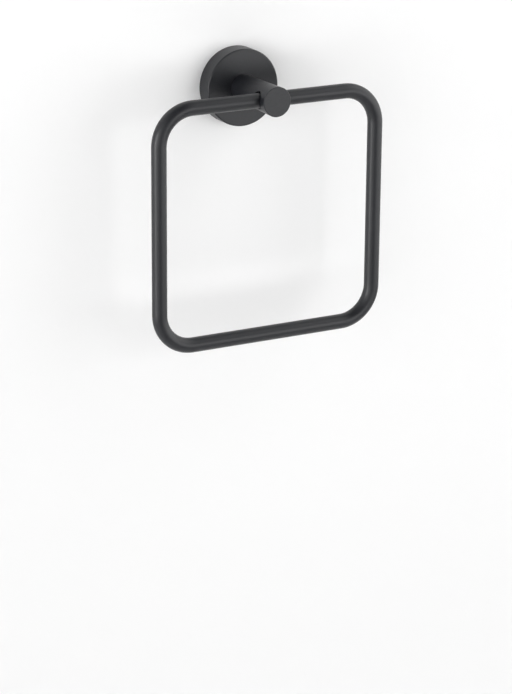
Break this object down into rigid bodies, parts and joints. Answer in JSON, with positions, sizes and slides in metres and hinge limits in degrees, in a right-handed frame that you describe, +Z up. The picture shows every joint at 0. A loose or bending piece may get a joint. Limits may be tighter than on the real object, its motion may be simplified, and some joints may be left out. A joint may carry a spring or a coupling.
{
  "type": "towel ring",
  "caption": "Rounded-square towel ring of round tube that swings in a single post on a round wall rosette.",
  "frame": {"origin": "centre of the wall plate at the wall's surface, on the post's axis", "axes": "+X to the right along the wall, +Y into the wall along the post's axis, +Z up"},
  "size_m": [0.1794, 0.0635, 0.2014],
  "materials": {
    "black_coat": "matt black powder coat with a very fine texture",
    "plated_steel": "bright zinc plate, slightly dulled",
    "blackened_steel": "black oxide on hardened steel, slightly oily"
  },
  "bodies": {
    "wall_mount": {"wall_plate": "plated_steel", "rosette": "black_coat", "locking_screw": "blackened_steel", "post": "black_coat", "post_screw": "plated_steel", "spring_washer": "plated_steel", "ring_stop_screw": "blackened_steel"},
    "swinging_ring": {"ring": "black_coat", "ring_joint_pin": "plated_steel"}
  },
  "joints": [
    {"name": "ring_swing", "type": "hinge", "parent": "wall_mount", "child": "swinging_ring", "pos_m": [0, -0.052, -0.00035], "axis": [-1, 0, 0], "range_deg": [-16, 196]}
  ]
}
